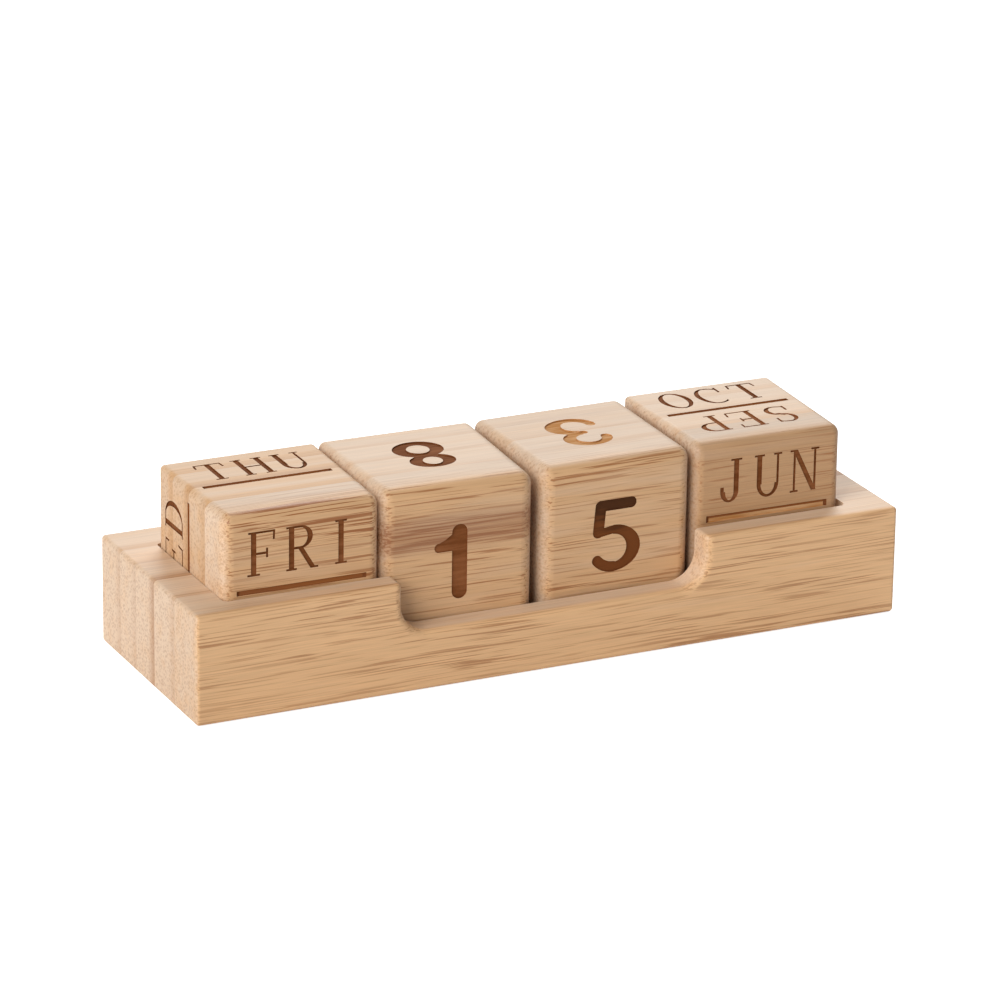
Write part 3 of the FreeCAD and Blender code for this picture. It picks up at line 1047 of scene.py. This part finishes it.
class CALENDAR_OT_carve_word_cubes(bpy.types.Operator):
    """Make the weekday and the month cube with their words burnt in"""

    bl_idname = "calendar.carve_word_cubes"
    bl_label = "Carve Word Cubes"

    def execute(self, context):
        make_cube("weekday")
        make_cube("month")
        return {"FINISHED"}


class CALENDAR_OT_carve_digit_cubes(bpy.types.Operator):
    """Make the two date cubes with their digits burnt in"""

    bl_idname = "calendar.carve_digit_cubes"
    bl_label = "Carve Digit Cubes"

    def execute(self, context):
        make_cube("tens")
        make_cube("units")
        return {"FINISHED"}


# ---------------------------------------------------------------- the studio

# What the lamps look at, where they stand and how wide they are.
LAMP_TARGET = (0, 0, 0.02)
KEY_PLACE, KEY_SIZE = (-2.38, -1.43, 1.60), 2.2
SHEEN_PLACE, SHEEN_SIZE = (0.9, 1.45, 1.45), 1.2
# Where the camera stands, and how far it is turned, tipped down and leant, in radians.
CAMERA_PLACE = (-0.5309, -1.0960, 0.4794)
CAMERA_TURN, CAMERA_TIP, CAMERA_LEAN = -0.4503905, 0.3514865, 0.0146907
FLOOR_HALF_WIDTH = 6.0
# The floor lies just below the tray, so that the two never share a plane.
FLOOR_DROP = 0.0002


def soft_lamp(name, place, size, power):
    """A square soft lamp that looks at the calendar."""
    lamp = bpy.data.lights.new(name, "AREA")
    lamp.shape = "SQUARE"
    lamp.size = size
    lamp.energy = power
    holder = bpy.data.objects.new(name, lamp)
    bpy.context.scene.collection.objects.link(holder)
    away = Vector(place) - Vector(LAMP_TARGET)
    facing = away.to_track_quat("Z", "Y").to_matrix().to_4x4()
    holder.matrix_world = Matrix.Translation(place) @ facing


def seen_by_camera(tree):
    """1 for what the camera sees directly, and 0 for what only lights or mirrors."""
    return add(tree, "ShaderNodeLightPath").outputs["Is Camera Ray"]


def lay_floor(scene):
    """White paper: it keeps the soft shadow, and reads white where nothing shades it."""
    paper = bmesh.new()
    bmesh.ops.create_grid(paper, x_segments=1, y_segments=1, size=FLOOR_HALF_WIDTH)
    bmesh.ops.translate(paper, vec=(0, 0, -FLOOR_DROP), verts=paper.verts)
    mesh = bpy.data.meshes.new("studio_floor")
    paper.to_mesh(mesh)
    paper.free()
    floor = bpy.data.objects.new("studio_floor", mesh)
    scene.collection.objects.link(floor)

    material = bpy.data.materials.new("white_paper")
    material.use_nodes = True
    tree = material.node_tree
    tree.nodes.clear()
    colour_in = {"Color": (*scene.calendar_colours.floor, 1)}
    matt = add(tree, "ShaderNodeBsdfDiffuse", colour_in).outputs[0]
    lift = maths(tree, "MULTIPLY", seen_by_camera(tree), scene.calendar_studio.glow)
    glow = add(tree, "ShaderNodeEmission", {"Strength": lift}).outputs[0]
    both = add(tree, "ShaderNodeAddShader", {0: matt, 1: glow}).outputs[0]
    add(tree, "ShaderNodeOutputMaterial", {"Surface": both})
    mesh.materials.append(material)


def fill_with_light(scene):
    """White surroundings that light gently and that the camera sees as pure white."""
    world = bpy.data.worlds.new("white_room")
    scene.world = world
    world.use_nodes = True
    tree = world.node_tree
    tree.nodes.clear()
    dim, full = (
        add(tree, "ShaderNodeBackground", {"Color": (1, 1, 1, 1), "Strength": strength}).outputs[0]
        for strength in (scene.calendar_studio.fill, 1.0)
    )
    either = add(
        tree, "ShaderNodeMixShader", {0: seen_by_camera(tree), 1: dim, 2: full}
    ).outputs[0]
    add(tree, "ShaderNodeOutputWorld", {"Surface": either})


def stand_camera(scene):
    """A long lens, looking down on the calendar from the front and a little from the left."""
    camera = bpy.data.cameras.new("camera")
    camera.lens = scene.calendar_studio.lens
    camera.sensor_width = 36.0
    camera.clip_end = 20.0
    holder = bpy.data.objects.new("camera", camera)
    scene.collection.objects.link(holder)
    holder.location = CAMERA_PLACE
    turn = Matrix.Rotation(CAMERA_TURN, 3, "Z")
    tip = Matrix.Rotation(math.pi / 2 - CAMERA_TIP, 3, "X")
    holder.rotation_euler = (turn @ tip @ Matrix.Rotation(CAMERA_LEAN, 3, "Z")).to_euler()
    scene.camera = holder


class CALENDAR_OT_set_studio(bpy.types.Operator):
    """Lay the pale floor, light it softly and stand the camera"""

    bl_idname = "calendar.set_studio"
    bl_label = "Set Studio"

    def execute(self, context):
        scene = context.scene
        studio = scene.calendar_studio
        scene.view_settings.view_transform = "Standard"
        lay_floor(scene)
        fill_with_light(scene)
        soft_lamp("key", KEY_PLACE, KEY_SIZE, studio.key)
        soft_lamp("sheen", SHEEN_PLACE, SHEEN_SIZE, studio.sheen)
        stand_camera(scene)
        return {"FINISHED"}


class CALENDAR_PT_panel(bpy.types.Panel):
    """The calendar's sizes, colours and making, in the sidebar"""

    bl_idname = "CALENDAR_PT_panel"
    bl_label = "Bamboo Desk Calendar"
    bl_space_type = "VIEW_3D"
    bl_region_type = "UI"
    bl_category = "Calendar"

    def draw(self, context):
        column = self.layout.column()
        for group in (
            context.scene.calendar_sizes,
            context.scene.calendar_colours,
            context.scene.calendar_studio,
        ):
            for name in type(group).__annotations__:
                column.prop(group, name)
        for operator in OPERATORS:
            column.operator(operator.bl_idname)


OPERATORS = (
    CALENDAR_OT_finish_tray,
    CALENDAR_OT_carve_word_cubes,
    CALENDAR_OT_carve_digit_cubes,
    CALENDAR_OT_set_studio,
)
CLASSES = (CalendarSizes, CalendarColours, CalendarStudio, *OPERATORS, CALENDAR_PT_panel)


def register():
    """Make the classes and the scene's settings known to Blender."""
    for known in CLASSES:
        bpy.utils.register_class(known)
    bpy.types.Scene.calendar_sizes = PointerProperty(type=CalendarSizes)
    bpy.types.Scene.calendar_colours = PointerProperty(type=CalendarColours)
    bpy.types.Scene.calendar_studio = PointerProperty(type=CalendarStudio)


def unregister():
    """Take the settings and the classes away again."""
    del bpy.types.Scene.calendar_studio
    del bpy.types.Scene.calendar_colours
    del bpy.types.Scene.calendar_sizes
    for known in reversed(CLASSES):
        bpy.utils.unregister_class(known)


def main():
    """Make everything in order."""
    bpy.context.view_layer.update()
    register()
    bpy.ops.calendar.finish_tray()
    bpy.ops.calendar.carve_word_cubes()
    bpy.ops.calendar.carve_digit_cubes()
    bpy.ops.calendar.set_studio()


if __name__ == "__main__":
    main()
